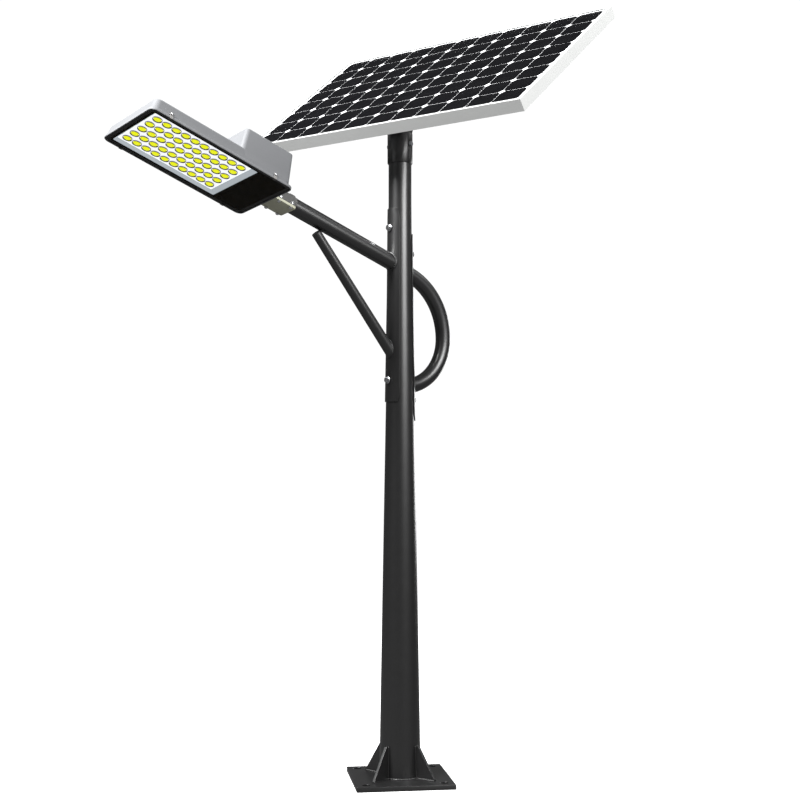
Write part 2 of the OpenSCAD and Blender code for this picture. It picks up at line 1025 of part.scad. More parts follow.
// Flat layer of the laminate at height z in the panel frame
module layer(z, t, inset) {
    panel_frame()
        translate([panel_shift_x - panel_l / 2 + inset, panel_shift_y - panel_w / 2 + inset, z])
            cube([panel_l - 2 * inset, panel_w - 2 * inset, t]);
}

module panel_glass() {
    color([0.8, 0.85, 0.9, 0.3])
        layer(laminate_top - glass_th, glass_th, laminate_inset);
}

// Outline of one cell: a rectangle with its corners cut off
module cell_outline() {
    x = (cell_pitch_x - cell_gap) / 2;
    y = (cell_pitch_y - cell_gap) / 2;
    c = cell_chamfer;
    polygon([[-x + c, -y], [x - c, -y], [x, -y + c], [x, y - c],
        [x - c, y], [-x + c, y], [-x, y - c], [-x, -y + c]]);
}

module solar_cells() {
    color([0.05, 0.05, 0.06])
        panel_frame()
            translate([panel_shift_x, panel_shift_y, laminate_top - glass_th - cell_t])
                for (i = [0:cell_cols - 1], j = [0:cell_rows - 1])
                    translate([(i - (cell_cols - 1) / 2) * cell_pitch_x,
                        (j - (cell_rows - 1) / 2) * cell_pitch_y, 0])
                        linear_extrude(cell_t)
                            cell_outline();
}

module back_sheet() {
    color([0.95, 0.95, 0.95])
        layer(laminate_top - glass_th - cell_t - sheet_t, sheet_t, laminate_inset);
}

// Frame at the middle of the junction box on the underside of the back sheet
module at_junction() {
    panel_frame()
        translate([panel_shift_x + jbox_x, panel_shift_y + jbox_y,
            laminate_top - glass_th - cell_t - sheet_t])
            children();
}

module junction_box() {
    color([0.07, 0.07, 0.07])
        at_junction()
            difference() {
                translate([-jbox_l / 2, -jbox_w / 2, -jbox_h])
                    cube([jbox_l, jbox_w, jbox_h]);
                translate([jbox_wall - jbox_l / 2, jbox_wall - jbox_w / 2, -jbox_h - 1])
                    cube([jbox_l - 2 * jbox_wall, jbox_w - 2 * jbox_wall, jbox_h - 2]);
                for (x = gland_x)
                    translate([x, -jbox_w / 2 - 5, gland_z])
                        rotate([-90, 0, 0])
                            cylinder(h = 12, r = 5 + run, $fn = small_fn);
            }
}

module junction_lid() {
    color([0.09, 0.09, 0.09])
        at_junction()
            translate([-jbox_l / 2 - 1, -jbox_w / 2 - 1, -jbox_h - 3.5])
                cube([jbox_l + 2, jbox_w + 2, 3.4]);
}

module junction_glands() {
    color([0.06, 0.06, 0.06])
        at_junction()
            for (x = gland_x)
                translate([x, -jbox_w / 2 - 15, gland_z])
                    rotate([-90, 0, 0])
                        difference() {
                            union() {
                                cylinder(h = 14.8, r = 8, $fn = small_fn);
                                translate([0, 0, 14])
                                    cylinder(h = 5, r = 5, $fn = small_fn);
                            }
                            translate([0, 0, -1])
                                cylinder(h = 24, r = 3, $fn = small_fn);
                        }
}

base_plate();
base_gussets();
pole_shaft();
arm_saddle();
loop_saddle();
arm_saddle_bolts();
loop_saddle_bolts();
rivet_nuts();
arm_tube();
arm_strut();
strut_cap();
loop_tube();
lamp_housing();
lens_glass();
glass_gasket();
reflector_tray();
led_board();
led_cups();
led_emitters();
glass_clips();
clip_screws();
clamp_upper();
clamp_lower();
clamp_bolts();
clamp_nuts();
led_driver();
battery_pack();
battery_strap();
cable_grommet();
top_collar();
collar_bolts();
pivot_ears();
pivot_bolt();
pivot_nut();
lock_bolts();
tilt_arms();
lower_rail();
upper_rail();
arm_rail_bolts();
frame_rail_bolts();
frame_lower_bar();
frame_upper_bar();
frame_left_bar();
frame_right_bar();
frame_corner_keys();
panel_glass();
solar_cells();
back_sheet();
junction_box();
junction_lid();
junction_glands();
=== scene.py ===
"""Solar street lamp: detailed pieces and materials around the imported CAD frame."""
import json
import math

import bmesh
import bpy
from mathutils import Matrix, Vector
from mathutils.geometry import tessellate_polygon


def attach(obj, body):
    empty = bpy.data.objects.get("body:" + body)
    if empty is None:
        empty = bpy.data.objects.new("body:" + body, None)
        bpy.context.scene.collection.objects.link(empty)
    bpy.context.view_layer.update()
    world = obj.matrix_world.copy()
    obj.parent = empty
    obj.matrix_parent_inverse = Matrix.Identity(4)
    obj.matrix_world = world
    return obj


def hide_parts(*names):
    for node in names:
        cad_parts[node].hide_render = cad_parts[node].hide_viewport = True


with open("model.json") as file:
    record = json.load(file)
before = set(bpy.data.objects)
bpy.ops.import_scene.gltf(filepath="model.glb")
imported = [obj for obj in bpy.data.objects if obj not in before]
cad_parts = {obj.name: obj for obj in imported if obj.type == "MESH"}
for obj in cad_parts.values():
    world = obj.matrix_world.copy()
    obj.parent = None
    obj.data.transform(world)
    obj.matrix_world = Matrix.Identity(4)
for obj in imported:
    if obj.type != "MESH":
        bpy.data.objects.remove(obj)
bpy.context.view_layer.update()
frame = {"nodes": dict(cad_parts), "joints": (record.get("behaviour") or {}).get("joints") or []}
joints = {joint["name"]: joint for joint in frame["joints"]}

# ---------------------------------------------------------------- dimensions, metres

BASE_HALF = 0.180
BASE_T = 0.018
ANCHOR = 0.1425
ANCHOR_R = 0.015
DRAIN_R = 0.045
GUSSET_H = 0.118
GUSSET_REACH = 0.160
GUSSET_LEDGE = 0.012
GUSSET_T = 0.010

SHOULDER_Z = 1.790
STRAIGHT_Z = 2.150
POLE_TOP_Z = 2.3997
POLE_BOTTOM_R = 0.077
POLE_SHOULDER_R = 0.046
POLE_TOP_R = 0.043
SADDLE_GAP = 0.0002
SADDLE_OUT = 0.004
SADDLE_HALF = math.radians(53)
ARM_SADDLE = (1.400, 2.123)
LOOP_SADDLE = (1.330, 2.030)
ARM_BOLTS = (1.481, 2.050)
LOOP_BOLTS = (1.408, 1.958)

ARM_R = 0.030
ARM_END = 0.613
STRUT_Z = 1.530
STRUT_RISE = math.radians(51.4)
STRUT_LEN = 0.603
STRUT_R = (0.0215, 0.018)
LOOP_R = 0.0285
LOOP_REACH = 0.205
LOOP_Z = 1.645
LOOP_UP = 0.252
LOOP_LOW = 0.184

LAMP_ROLL = math.radians(8.3)
LAMP_W = 0.336
LAMP_START = 0.616
LAMP_FAR = 1.193
GLASS_Z = -0.0425
GLASS_T = 0.003
TRAY_NEAR = 0.630
TRAY_TOP = 0.005
BOX_TOP = 0.083
BOX_FAR = 0.845
WINDOW = (0.752, 1.166, 0.1416)
BOARD_Z = GLASS_Z + 0.013
LED_COLS = 10
LED_ROWS = 5
LED_PITCH = (0.0374, 0.0499)
LED_FIRST = 0.797
CLIP_X = (0.697, 1.120)
CLAMP_NEAR = 0.521
CLAMP_HALF = 0.047
CLAMP_LOW = -0.0333
CLAMP_SPLIT = -0.024
CLAMP_BOLT_X = (0.540, 0.590)
CLAMP_BOLT_Y = 0.0405

UP = Vector((0, 0, 1))


# ---------------------------------------------------------------- local frames

def axes_matrix(origin, x_axis, y_axis):
    """Matrix of a right-handed frame from its origin and two of its unit axes."""
    z_axis = x_axis.cross(y_axis)
    turned = Matrix((x_axis, y_axis, z_axis)).transposed().to_4x4()
    return Matrix.Translation(origin) @ turned


arm_joint = joints["lamp_roll"]
ARM_ORIGIN = Vector(arm_joint["pos_m"])
ARM_AXIS = Vector(arm_joint["axis"]).normalized()
ARM_AZIMUTH = math.atan2(ARM_AXIS.y, ARM_AXIS.x)
ARM_FRAME = axes_matrix(ARM_ORIGIN, ARM_AXIS, UP.cross(ARM_AXIS).normalized())
LAMP_FRAME = ARM_FRAME @ Matrix.Rotation(LAMP_ROLL, 4, "X")
ARM_PLANE = Matrix.Rotation(ARM_AZIMUTH, 4, "Z")


def pole_radius(z):
    """Outer radius of the pole at height z."""
    if z < SHOULDER_Z:
        share = (z - BASE_T) / (SHOULDER_Z - BASE_T)
        return POLE_BOTTOM_R + (POLE_SHOULDER_R - POLE_BOTTOM_R) * share
    if z < STRAIGHT_Z:
        share = (z - SHOULDER_Z) / (STRAIGHT_Z - SHOULDER_Z)
        return POLE_SHOULDER_R + (POLE_TOP_R - POLE_SHOULDER_R) * share
    return POLE_TOP_R


# ---------------------------------------------------------------- material nodes

# Sockets of a Mix node that mixes colours
MIX_FACTOR, MIX_A, MIX_B, MIX_RESULT = 0, 6, 7, 2


class Shader:
    """A new node material with a Principled BSDF and short helpers to wire nodes."""

    def __init__(self, name):
        self.material = bpy.data.materials.new(name)
        self.material.use_nodes = True
        self.tree = self.material.node_tree
        self.bsdf = self.tree.nodes["Principled BSDF"]
        self.output = self.tree.nodes["Material Output"]
        self.place = self.add("ShaderNodeTexCoord").outputs["Object"]

    def add(self, kind, **values):
        node = self.tree.nodes.new(kind)
        for key, value in values.items():
            setattr(node, key, value)
        return node

    def link(self, start, end):
        self.tree.links.new(start, end)

    def set(self, **values):
        for key, value in values.items():
            self.bsdf.inputs[key.replace("_", " ")].default_value = value

    def noise(self, scale, detail=4.0, roughness=0.55, stretch=None):
        node = self.add("ShaderNodeTexNoise")
        node.inputs["Scale"].default_value = scale
        node.inputs["Detail"].default_value = detail
        node.inputs["Roughness"].default_value = roughness
        start = self.place
        if stretch:
            mapping = self.add("ShaderNodeMapping")
            mapping.inputs["Scale"].default_value = stretch
            self.link(start, mapping.inputs["Vector"])
            start = mapping.outputs["Vector"]
        self.link(start, node.inputs["Vector"])
        return node.outputs["Fac"]

    def ramp(self, value, stops):
        node = self.add("ShaderNodeValToRGB")
        elements = node.color_ramp.elements
        elements[0].position, elements[0].color = stops[0][0], _rgba(stops[0][1])
        elements[1].position, elements[1].color = stops[-1][0], _rgba(stops[-1][1])
        for position, colour in stops[1:-1]:
            elements.new(position).color = _rgba(colour)
        self.link(value, node.inputs["Fac"])
        return node.outputs["Color"]

    def span(self, value, low, high):
        """value from 0..1 mapped to low..high"""
        node = self.add("ShaderNodeMapRange")
        node.inputs["To Min"].default_value = low
        node.inputs["To Max"].default_value = high
        self.link(value, node.inputs["Value"])
        return node.outputs["Result"]

    def mix(self, factor, one, two):
        """Colour from one to two by a factor socket; a colour may be a socket or a value."""
        node = self.add("ShaderNodeMix", data_type="RGBA")
        self.link(factor, node.inputs[MIX_FACTOR])
        for index, value in ((MIX_A, one), (MIX_B, two)):
            if isinstance(value, bpy.types.NodeSocket):
                self.link(value, node.inputs[index])
            else:
                node.inputs[index].default_value = _rgba(value)
        return node.outputs[MIX_RESULT]

    def colour(self, socket):
        self.link(socket, self.bsdf.inputs["Base Color"])

    def rough(self, socket):
        self.link(socket, self.bsdf.inputs["Roughness"])

    def bump(self, height, distance, strength):
        node = self.add("ShaderNodeBump")
        node.inputs["Distance"].default_value = distance
        node.inputs["Strength"].default_value = strength
        self.link(height, node.inputs["Height"])
        self.link(node.outputs["Normal"], self.bsdf.inputs["Normal"])

    def specular(self, level):
        self.bsdf.inputs["Specular IOR Level"].default_value = level

    def glow(self, colour, strength):
        self.bsdf.inputs["Emission Color"].default_value = _rgba(colour)
        self.bsdf.inputs["Emission Strength"].default_value = strength


def _rgba(colour):
    """Four numbers from a grey level or a colour of three numbers."""
    if isinstance(colour, (int, float)):
        return (colour, colour, colour, 1.0)
    return (*colour, 1.0)


def scaled(colour, factor):
    return tuple(c * factor for c in colour)


def paint(name, colour, rough=(0.3, 0.42), grain=900, dust=0.06, shine=0.5):
    """Powder coat: fine orange peel, faint dust mottling and slightly worn edges."""
    s = Shader(name)
    broad = s.noise(6, 5)
    fine = s.noise(grain, 3)
    worn = s.ramp(s.add("ShaderNodeNewGeometry").outputs["Pointiness"],
                  [(0.50, 0.0), (0.56, 1.0)])
    base = s.mix(s.span(broad, 0, dust * 4), colour, scaled(colour, 1 + 4 * dust))
    edge = s.mix(s.span(fine, 0.0, 0.35), base, scaled(colour, 1.7))
    s.colour(s.mix(worn, base, edge))
    s.rough(s.span(s.noise(35, 6), *rough))
    s.bump(fine, 0.0004, 0.12)
    s.specular(shine)
    return s.material


def metal(name, colour, rough, stretch=(1, 1, 1), grain=400, bump=0.15, metallic=1.0,
          glow=0.0):
    """Bare or plated metal with fine directional grain and cloudy roughness."""
    s = Shader(name)
    fine = s.noise(grain, 4, stretch=stretch)
    cloud = s.noise(14, 5)
    tint = s.mix(s.span(cloud, 0, 1), scaled(colour, 0.86), colour)
    s.colour(s.mix(s.span(fine, 0, 0.5), tint, scaled(colour, 1.06)))
    s.rough(s.span(s.noise(60, 5, stretch=stretch), *rough))
    s.bump(fine, 0.0003, bump)
    s.set(Metallic=metallic)
    # Emission here is painted light: a glow on a part that is no lamp; only the reflector pan uses
    # it
    s.glow((0.80, 0.91, 1.0), glow)
    return s.material


def moulded(name, colour, rough=(0.4, 0.55), grain=1500, shine=0.5, glow=0.0):
    """Moulded plastic or rubber with a fine texture and faint blotches."""
    s = Shader(name)
    s.colour(s.mix(s.span(s.noise(20, 5), 0, 0.5), colour, scaled(colour, 1.5)))
    s.rough(s.span(s.noise(80, 4), *rough))
    s.bump(s.noise(grain, 2), 0.0003, 0.15)
    s.specular(shine)
    # Emission here is painted light: a glow on a part that is no lamp; only the LED board uses it
    s.glow((0.95, 0.97, 1.0), glow)
    return s.material


def clear_glass(name, tint, index, gloss=0.06):
    """Thin clear pane: see-through with Fresnel reflections and light smears."""
    s = Shader(name)
    tree = s.tree
    tree.nodes.remove(s.bsdf)
    clear = s.add("ShaderNodeBsdfTransparent")
    clear.inputs["Color"].default_value = _rgba(tint)
    shine = s.add("ShaderNodeBsdfGlossy")
    s.link(s.span(s.noise(9, 6), 0.01, gloss), shine.inputs["Roughness"])
    fresnel = s.add("ShaderNodeFresnel")
    fresnel.inputs["IOR"].default_value = index
    front = s.add("ShaderNodeMath", operation="SUBTRACT")
    front.inputs[0].default_value = 1.0
    s.link(s.add("ShaderNodeNewGeometry").outputs["Backfacing"], front.inputs[1])
    share = s.add("ShaderNodeMath", operation="MULTIPLY")
    s.link(fresnel.outputs["Fac"], share.inputs[0])
    s.link(front.outputs["Value"], share.inputs[1])
    blend = s.add("ShaderNodeMixShader")
    s.link(share.outputs["Value"], blend.inputs[0])
    s.link(clear.outputs["BSDF"], blend.inputs[1])
    s.link(shine.outputs["BSDF"], blend.inputs[2])
    s.link(blend.outputs["Shader"], s.output.inputs["Surface"])
    return s.material


def phosphor(name):
    """Yellow phosphor under a clear silicone dome, with a slight glow of its own."""
    s = Shader(name)
    grain = s.noise(700, 3)
    tone = s.mix(s.span(grain, 0, 1), (0.86, 0.90, 0.0), (0.95, 1.0, 0.004))
    s.colour(tone)
    s.link(tone, s.bsdf.inputs["Emission Color"])
    s.bsdf.inputs["Emission Strength"].default_value = 0.85
    s.rough(s.span(grain, 0.12, 0.2))
    s.bump(grain, 0.0002, 0.1)
    s.set(Coat_Weight=0.8, Coat_Roughness=0.05)
    return s.material


def silicon(name):
    """Black cell with faint mottling and a fine texture."""
    s = Shader(name)
    s.colour(s.mix(s.span(s.noise(12, 5), 0, 1), (0.0015, 0.0015, 0.002), (0.0035, 0.0035, 0.0045)))
    s.rough(s.span(s.noise(90, 4), 0.25, 0.4))
    s.bump(s.noise(2500, 2), 0.0002, 0.1)
    s.specular(0.05)
    return s.material


mats = {
    "pole_paint": paint("charcoal_paint", (0.0075, 0.0075, 0.0078), rough=(0.32, 0.38), shine=1.0),
    "bracket_paint": paint("bracket_paint", (0.018, 0.018, 0.019)),
    "cast_housing": paint("housing_paint", (0.18, 0.184, 0.192), rough=(0.55, 0.65),
                          dust=0.02, shine=0.25),
    "clamp_cast": paint("clamp_upper_cast", (0.10, 0.10, 0.098), rough=(0.4, 0.55), grain=600),
    # Painted reflection: the olive-grey tone of the plate under the socket stands in for a
    # reflection, not the casting's own colour
    "clamp_lower": paint("clamp_lower_painted_reflection", (0.52, 0.52, 0.40), rough=(0.4, 0.55), grain=600),
    "bright_steel": metal("bright_zinc", (0.80, 0.81, 0.83), rough=(0.16, 0.3)),
    "plain_steel": metal("plain_zinc", (0.42, 0.43, 0.45), rough=(0.3, 0.45)),
    "clip_steel": metal("clip_stainless", (0.20, 0.195, 0.19), rough=(0.42, 0.5)),
    # Painted reflection: the silver cups get a dark bluish tone that stands in for the dark
    # reflections round each LED; the pan is the same reflector kept bright
    "cup": metal("chrome_cup_painted_dark_reflection", (0.20, 0.19, 0.26), rough=(0.14, 0.28), grain=200, bump=0.04),
    # Reflector pan: bright aluminium plus a painted glow that stands in for light falling on it;
    # the pan is no lamp
    "pan": metal("bright_pan_painted_glow", (0.86, 0.88, 0.90), rough=(0.1, 0.22), grain=200,
                 bump=0.04, glow=0.34),
    "frame_aluminium": metal("anodised_frame", (0.80, 0.81, 0.80), rough=(0.42, 0.54),
                             stretch=(1, 1, 12), grain=300, bump=0.06, metallic=0.4),
    "rail_metal": metal("mill_aluminium", (0.62, 0.63, 0.65), rough=(0.3, 0.45)),
    "driver_case": metal("driver_case", (0.6, 0.6, 0.62), rough=(0.3, 0.45)),
    # LED board: white plastic plus a painted glow that stands in for light falling on it
    "led_board": moulded("white_board_painted_glow", (0.82, 0.83, 0.83), rough=(0.25, 0.4), glow=0.9),
    "black_rubber": moulded("black_silicone", (0.012, 0.012, 0.012)),
    "black_plastic": moulded("black_plastic", (0.014, 0.014, 0.014)),
    "battery_wrap": moulded("battery_wrap", (0.03, 0.1, 0.3), rough=(0.2, 0.35)),
    "back_sheet": moulded("white_back_sheet", (0.8, 0.81, 0.82), rough=(0.35, 0.5)),
    "print": moulded("black_print", (0.0075, 0.0048, 0.0008), rough=(0.3, 0.4), shine=0.05),
    "led_phosphor": phosphor("led_phosphor"),
    "solar_cell": silicon("silicon_cell"),
    "lamp_glass": clear_glass("lamp_glass", (0.98, 0.98, 0.98), 1.06),
    "panel_glass": clear_glass("panel_glass", (0.985, 0.985, 0.985), 1.03),
}


# ---------------------------------------------------------------- mesh helpers

SHARP = 32

def finish_piece(name, mesh, place, slot, body, replaces=(), material=None, sharp=SHARP):
    """Makes a new piece, riding on a body, from a bmesh in the frame of place."""
    bmesh.ops.recalc_face_normals(mesh, faces=mesh.faces)
    data = bpy.data.meshes.new(name)
    mesh.to_mesh(data)
    mesh.free()
    data.transform(place)
    data.shade_smooth()
    data.set_sharp_from_angle(angle=math.radians(sharp))
    data.materials.append(mats[material or slot])
    piece = bpy.data.objects.new(name, data)
    bpy.context.scene.collection.objects.link(piece)
    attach(piece, body)
    if replaces:
        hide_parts(*replaces)
    return piece


def join_rings(mesh, rings, close=True, cap_start=False, cap_end=False):
    """Skins a list of rings, each a list of points, into the mesh."""
    made = [[mesh.verts.new(point) for point in ring] for ring in rings]
    for low, high in zip(made, made[1:]):
        count = len(low)
        for i in range(count if close else count - 1):
            j = (i + 1) % count
            mesh.faces.new((low[i], low[j], high[j], high[i]))
    if cap_start:
        mesh.faces.new(list(reversed(made[0])))
    if cap_end:
        mesh.faces.new(made[-1])
    return made


def circle(radius, count, x=0.0, y=0.0, z=0.0):
    """Level ring of points round x, y at height z."""
    return [Vector((x + radius * math.cos(math.tau * i / count),
                    y + radius * math.sin(math.tau * i / count), z))
            for i in range(count)]


def lathe(mesh, profile, count, cap_end=False, x=0.0, y=0.0):
    """Turns a profile of (radius, height) about a vertical line at x, y."""
    rings = [circle(radius, count, x, y, z) for radius, z in profile]
    join_rings(mesh, rings, cap_end=cap_end)


def rounded(x0, x1, half, z, radius, arc=6):
    """Ring of a rectangle with round corners, symmetric about y = 0, at height z."""
    points = []
    corners = ((x1 - radius, half - radius, 0), (x0 + radius, half - radius, 90),
               (x0 + radius, -half + radius, 180), (x1 - radius, -half + radius, 270))
    for cx, cy, start in corners:
        for i in range(arc + 1):
            a = math.radians(start + 90 * i / arc)
            points.append(Vector((cx + radius * math.cos(a), cy + radius * math.sin(a), z)))
    return points


def side_frame(direction):
    """Two unit vectors square to direction."""
    first = direction.cross(UP)
    if first.length < 1e-4:
        first = direction.cross(Vector((1, 0, 0)))
    first.normalize()
    return first, direction.cross(first).normalized()


def sweep(mesh, path, radius, sides, closed=False):
    """Round tube along a path; radius is a number or a function of the point's index."""
    rings = []
    count = len(path)
    first = None
    for i, point in enumerate(path):
        before = path[i - 1] if (i or closed) else path[0]
        after = path[(i + 1) % count] if (i < count - 1 or closed) else path[-1]
        direction = (after - before).normalized()
        if first is None:
            first, second = side_frame(direction)
        else:
            first = (first - direction * first.dot(direction)).normalized()
            second = direction.cross(first)
        r = radius(i) if callable(radius) else radius
        rings.append([point + first * (r * math.cos(math.tau * k / sides))
                      + second * (r * math.sin(math.tau * k / sides)) for k in range(sides)])
    if closed:
        rings.append(rings[0])
    join_rings(mesh, rings, cap_start=not closed, cap_end=not closed)
    if closed:
        bmesh.ops.remove_doubles(mesh, verts=mesh.verts, dist=1e-7)


def box(mesh, low, high):
    """Box between two corners, for bevelling later."""
    ring = [Vector((low[0], low[1], low[2])), Vector((high[0], low[1], low[2])),
            Vector((high[0], high[1], low[2])), Vector((low[0], high[1], low[2]))]
    top = [Vector((p.x, p.y, high[2])) for p in ring]
    join_rings(mesh, [ring, top], cap_start=True, cap_end=True)


def prism(mesh, outline, low, high, place):
    """Straight prism of a flat outline from low to high along the +Z of place."""
    rings = [[place @ Vector((x, y, z)) for x, y in outline] for z in (low, high)]
    join_rings(mesh, rings, cap_start=True, cap_end=True)


def add_bevel(piece, width):
    """Small round on the edges that are sharper than SHARP."""
    modifier = piece.modifiers.new("edges", "BEVEL")
    modifier.width = width
    modifier.segments = 2
    modifier.limit_method = "ANGLE"
    modifier.angle_limit = math.radians(SHARP)
    modifier.harden_normals = True
    modifier.use_clamp_overlap = True


def hex_head(mesh, place, flats, height, washer, washer_r):
    """Chamfered hexagon head on a round washer, standing along the place's +Z."""
    rings = [circle(washer_r, 32, z=0), circle(washer_r, 32, z=washer * 0.8),
             circle(washer_r - washer * 0.25, 32, z=washer)]
    join_rings(mesh, [[place @ p for p in ring] for ring in rings],
               cap_start=True, cap_end=True)
    sides, steps = 6, 6
    corner = flats / math.sqrt(3)
    outline = []
    for i in range(sides):
        a0, a1 = math.tau * i / sides, math.tau * (i + 1) / sides
        p0 = Vector((corner * math.cos(a0), corner * math.sin(a0), 0))
        p1 = Vector((corner * math.cos(a1), corner * math.sin(a1), 0))
        outline += [p0.lerp(p1, k / steps) for k in range(steps)]
    cut = flats / 2 * 0.98

    def ring_at(z, limit):
        ring = []
        for p in outline:
            r = min(p.length, limit)
            ring.append(place @ (p.normalized() * r + Vector((0, 0, z))))
        return ring

    lift = height * 0.14
    rings = [ring_at(washer, corner), ring_at(washer + height - lift, corner),
             ring_at(washer + height - lift * 0.45, (corner + cut) / 2),
             ring_at(washer + height, cut)]
    join_rings(mesh, rings, cap_start=True, cap_end=True)


def at(origin, direction, spin=0.0):
    """Frame at origin whose +Z is direction."""
    z = Vector(direction).normalized()
    x, y = side_frame(z)
    turned = Matrix((x, y, z)).transposed()
    return Matrix.Translation(origin) @ turned.to_4x4() @ Matrix.Rotation(spin, 4, "Z")


def azimuth_vector(angle):
    return Vector((math.cos(angle), math.sin(angle), 0))


# ---------------------------------------------------------------- pole

def tube_ring(origin, axis, radius, count):
    """Ring of points round origin, square to the axis."""
    first, second = side_frame(axis)
    return [origin + first * (radius * math.cos(math.tau * i / count))
            + second * (radius * math.sin(math.tau * i / count)) for i in range(count)]

def coped_ring(origin, axis, radius, count):
    """Points where a tube of that radius meets the outside of the saddles."""
    points = []
    for start in tube_ring(origin, axis, radius, count):
        low, high = 0.0, 0.5
        for _ in range(40):
            middle = (low + high) / 2
            p = start + axis * middle
            if math.hypot(p.x, p.y) > pole_radius(p.z) + SADDLE_OUT:
                high = middle
            else:
                low = middle
        points.append(start + axis * high)
    return points

def weld_bead(name, points, size):
    """Rippled weld bead along a closed line."""
    length = sum((b - a).length for a, b in zip(points, points[1:] + points[:1]))
    ripples = max(8, round(length / 0.0035))
    dense = []
    steps = ripples * 4
    lengths = [0.0]
    for a, b in zip(points, points[1:] + points[:1]):
        lengths.append(lengths[-1] + (b - a).length)
    k = 0
    for i in range(steps):
        target = length * i / steps
        while lengths[k + 1] < target:
            k += 1
        share = (target - lengths[k]) / max(lengths[k + 1] - lengths[k], 1e-9)
        dense.append(points[k].lerp(points[(k + 1) % len(points)], share))
    mesh = bmesh.new()
    sweep(mesh, dense, lambda i: size * (0.86 + 0.14 * abs(math.sin(math.pi * i / 4))),
          sides=10, closed=True)
    finish_piece(name, mesh, Matrix(), "pole_paint", "pole", sharp=60)


def make_plate():
    """Foot plate with rolled edges, eased anchor holes and a drain hole."""
    def square(back, z):
        return rounded(-BASE_HALF + back, BASE_HALF - back, BASE_HALF - back, z, 0.002, arc=3)

    top = BASE_T
    mesh = bmesh.new()
    join_rings(mesh, [square(0.0040, 0), square(0.0010, 0), square(0, 0.0010),
                      square(0, top - 0.0014), square(0.0004, top - 0.0004),
                      square(0.0014, top), square(0.0050, top)])
    holes = [(x, y, ANCHOR_R) for x in (-ANCHOR, ANCHOR) for y in (-ANCHOR, ANCHOR)]
    holes.append((0, 0, DRAIN_R))
    for x, y, r in holes:
        join_rings(mesh, [circle(r + 0.0008, 48, x, y, top), circle(r, 48, x, y, top - 0.0008),
                          circle(r, 48, x, y, 0)])
    for z, back, ease in ((top, 0.0050, 0.0008), (0.0, 0.0040, 0.0)):
        loops = [square(back, z)] + [circle(r + ease, 48, x, y, z) for x, y, r in holes]
        corners = [mesh.verts.new(p) for loop in loops for p in loop]
        for triple in tessellate_polygon(loops):
            mesh.faces.new([corners[i] for i in triple])
    bmesh.ops.remove_doubles(mesh, verts=mesh.verts, dist=1e-6)
    finish_piece("foot_plate", mesh, Matrix(), "pole_paint", "pole", ["base_plate"])


def make_base():
    """Gussets on the diagonals of the plate, and the welds round the foot."""
    mesh = bmesh.new()
    for k in range(4):
        turn = Matrix.Rotation(math.radians(45 + 90 * k), 4, "Z")
        inner = pole_radius(BASE_T) - 0.004
        top = BASE_T + GUSSET_H
        outline = ((inner, BASE_T), (GUSSET_REACH, BASE_T), (GUSSET_REACH, BASE_T + 0.004),
                   (pole_radius(top) + GUSSET_LEDGE, top), (inner - 0.002, top))
        upright = turn @ Matrix.Rotation(math.radians(90), 4, "X")
        prism(mesh, outline, -GUSSET_T / 2, GUSSET_T / 2, upright)
    gussets = finish_piece("gusset_plates", mesh, Matrix(), "pole_paint", "pole", ["base_gussets"])
    add_bevel(gussets, 0.0009)
    for k in range(4):
        direction = azimuth_vector(math.radians(45 + 90 * k))
        side = Vector((-direction.y, direction.x, 0)) * (GUSSET_T / 2)
        low, top = BASE_T + 0.001, BASE_T + GUSSET_H
        path = []
        for s, order in ((1, 1), (-1, -1)):
            leg = [direction * (GUSSET_REACH - 0.004) + side * s + UP * low,
                   direction * (pole_radius(low) + 0.002) + side * s + UP * low,
                   direction * (pole_radius(low) + 0.001) + side * s + UP * (low + 0.004),
                   direction * (pole_radius(top) + 0.0005) + side * s + UP * (top - 0.002)]
            path += leg[::order]
        weld_bead(f"gusset_weld_{k + 1}", path, 0.0028)
    ring = circle(pole_radius(BASE_T) + 0.0015, 180, z=BASE_T + 0.0012)
    weld_bead("pole_foot_weld", ring, 0.0032)


def make_shaft():
    mesh = bmesh.new()
    heights = [BASE_T, SHOULDER_Z - 0.05, SHOULDER_Z, SHOULDER_Z + 0.05,
               (SHOULDER_Z + STRAIGHT_Z) / 2, STRAIGHT_Z, POLE_TOP_Z]
    profile = [(pole_radius(z), z) for z in heights]
    inside = [(r - 0.004, z) for r, z in reversed(profile)]
    lathe(mesh, profile + inside, 128)
    finish_piece("shaft", mesh, Matrix(), "pole_paint", "pole", ["pole_shaft"])


def make_saddle(name, azimuth, low, high, node):
    """Half shell on the pole with a rolled edge and soft corners."""
    mesh = bmesh.new()
    columns, rows = 40, 24
    corner = 0.010
    outer, inner = [], []
    for j in range(rows + 1):
        z = low + (high - low) * j / rows
        edge = min(z - low, high - z)
        trim = corner - math.sqrt(max(corner ** 2 - (corner - min(edge, corner)) ** 2, 0))
        r = pole_radius(z)
        half = SADDLE_HALF - trim / r
        row_out, row_in = [], []
        for i in range(columns + 1):
            direction = azimuth_vector(azimuth + half * (2 * i / columns - 1))
            row_out.append(direction * (r + SADDLE_OUT) + UP * z)
            row_in.append(direction * (r + SADDLE_GAP) + UP * z)
        outer.append(row_out)
        inner.append(row_in)
    a = join_rings(mesh, outer, close=False)
    b = join_rings(mesh, inner, close=False)
    rim_a = a[0] + [r[-1] for r in a[1:-1]] + a[-1][::-1] + [r[0] for r in a[-2:0:-1]]
    rim_b = b[0] + [r[-1] for r in b[1:-1]] + b[-1][::-1] + [r[0] for r in b[-2:0:-1]]
    for i in range(len(rim_a)):
        j = (i + 1) % len(rim_a)
        mesh.faces.new((rim_a[i], rim_a[j], rim_b[j], rim_b[i]))
    shell = finish_piece(name, mesh, Matrix(), "pole_paint", "pole", [node])
    add_bevel(shell, 0.0008)


